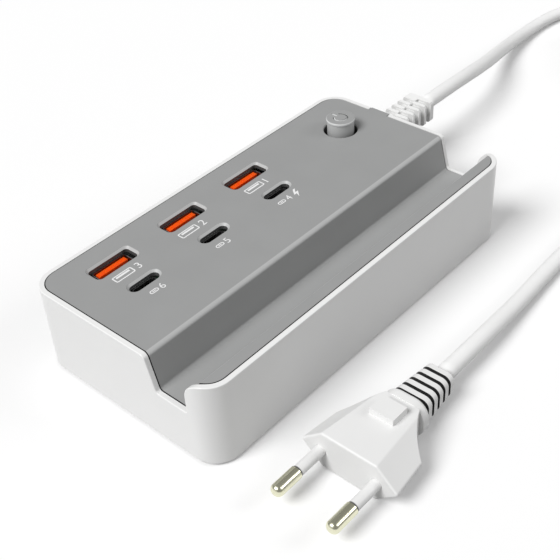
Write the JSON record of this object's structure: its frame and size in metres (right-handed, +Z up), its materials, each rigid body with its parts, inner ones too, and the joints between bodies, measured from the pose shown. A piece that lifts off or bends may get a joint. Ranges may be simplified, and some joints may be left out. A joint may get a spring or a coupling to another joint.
{
  "type": "multi-port desktop charger",
  "caption": "Flat white desktop charger with a grey deck of charging ports, a phone slot along its front, a push button and a corded flat mains plug.",
  "frame": {"origin": "middle of the case's footprint, on the surface the feet stand on", "axes": "+X along the long side towards the cord, +Y from the phone slot to the back, +Z up"},
  "size_m": [0.3323, 0.119, 0.0346],
  "materials": {
    "white_shell": "smooth white moulding with a soft sheen",
    "grey_cover": "fine matt grey with smoother, lighter edges",
    "grey_button": "satin grey with a lighter edge",
    "orange_tongue": "satin orange",
    "black_tongue": "matt black",
    "port_shell_metal": "dark plated steel",
    "contact_metal": "gold plated",
    "black_plastic": "moulded black",
    "board_laminate": "green glass-fibre board",
    "ferrite": "dark grey ferrite",
    "winding_tape": "yellow wrapping tape over copper",
    "capacitor_can": "sleeved can",
    "yellow_box": "yellow box",
    "blue_disc": "dipped blue",
    "bare_aluminium": "bare sheet",
    "screw_steel": "zinc plated",
    "foot_rubber": "matt grey rubber",
    "cord_sheath": "soft white sheath",
    "wire_sheath": "brown and blue sheaths",
    "tie_strip": "white strap",
    "plug_plastic": "satin white moulding",
    "pin_brass": "polished pale brass",
    "sleeve_plastic": "smooth white sleeve"
  },
  "bodies": {
    "charger": {"board_header": "black_plastic", "board_screws": "screw_steel", "bridge_rectifier": "black_plastic", "bulk_capacitor_1": "capacitor_can", "bulk_capacitor_2": "capacitor_can", "case_screws": "screw_steel", "charge_controller": "black_plastic", "coil_tie": "tie_strip", "cord_boot": "cord_sheath", "cord_coil": "cord_sheath", "cord_lead": "cord_sheath", "cord_tail": "cord_sheath", "filter_capacitor": "yellow_box", "filter_choke": "ferrite", "heat_spreader": "bare_aluminium", "housing": "white_shell", "isolation_capacitor": "blue_disc", "main_board": "board_laminate", "mains_fuse": "black_plastic", "mains_wires": "wire_sheath", "output_capacitor_1": "capacitor_can", "output_capacitor_2": "capacitor_can", "output_capacitor_3": "capacitor_can", "output_rectifier": "black_plastic", "pin_sleeves": "sleeve_plastic", "plug_body": "plug_plastic", "plug_pins": "pin_brass", "port_board": "board_laminate", "port_board_screws": "screw_steel", "port_inductor_1": "ferrite", "port_inductor_2": "ferrite", "port_inductor_3": "ferrite", "rubber_feet": "foot_rubber", "slim_port_shell_1": "port_shell_metal", "slim_port_shell_2": "port_shell_metal", "slim_port_shell_3": "port_shell_metal", "slim_port_tongue_1": "black_tongue", "slim_port_tongue_2": "black_tongue", "slim_port_tongue_3": "black_tongue", "surge_disc": "blue_disc", "switch_body": "black_plastic", "top_cover": "grey_cover", "transformer_core": "ferrite", "transformer_winding": "winding_tape", "wide_port_contacts_1": "contact_metal", "wide_port_contacts_2": "contact_metal", "wide_port_contacts_3": "contact_metal", "wide_port_shell_1": "port_shell_metal", "wide_port_shell_2": "port_shell_metal", "wide_port_shell_3": "port_shell_metal", "wide_port_tongue_1": "orange_tongue", "wide_port_tongue_2": "orange_tongue", "wide_port_tongue_3": "orange_tongue"},
    "button": {"power_button": "grey_button", "switch_plunger": "black_plastic"}
  },
  "joints": [
    {"name": "button_press", "type": "slide", "parent": "charger", "child": "button", "axis": [0, 0, -1], "range_m": [0, 0.003], "stiffness_N_per_m": 400, "springref_m": -0.001}
  ]
}
